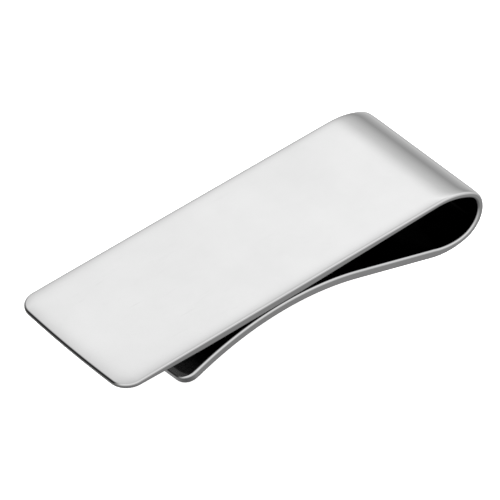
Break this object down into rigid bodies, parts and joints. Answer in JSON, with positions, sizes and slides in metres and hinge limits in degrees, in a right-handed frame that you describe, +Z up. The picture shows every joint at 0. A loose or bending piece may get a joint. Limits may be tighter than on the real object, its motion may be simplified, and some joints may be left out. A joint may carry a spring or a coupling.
{
  "type": "money clip",
  "caption": "Money clip folded from one metal strip: flat face plate, teardrop spring bow, and a crowned leaf with a flared lip that pinches notes against the plate.",
  "frame": {"origin": "centre of the clip's box at the level of the table that it rests on, on the bottom of its bow and the tip of its lip", "axes": "+X along the clip from its open front end to its bow, +Y across the strip, +Z up; the face plate slopes up towards the bow by 4.3 degrees"},
  "size_m": [0.0534, 0.02, 0.0083],
  "materials": {
    "polished_steel": "polished"
  },
  "bodies": {
    "face": {"face_plate": "polished_steel"},
    "bow": {"spring_bow": "polished_steel"},
    "leaf": {"clamp_leaf": "polished_steel", "grip_crown": "polished_steel", "lead_in_lip": "polished_steel"}
  },
  "joints": [
    {"name": "bow_flex", "type": "hinge", "parent": "face", "child": "bow", "pos_m": [0.01961, 0, 0.00828], "axis": [0, -1, 0], "range_deg": [0, 8], "stiffness_Nm_per_rad": 6.5, "springref_deg": -0.29},
    {"name": "leaf_flex", "type": "hinge", "parent": "bow", "child": "leaf", "pos_m": [0.01895, 0, 0.00026], "axis": [0, -1, 0], "range_deg": [0, 5], "stiffness_Nm_per_rad": 9.7, "springref_deg": -0.17}
  ],
  "couplings": [
    {"joint": "leaf_flex", "follows": "bow_flex", "ratio": 0.625}
  ]
}
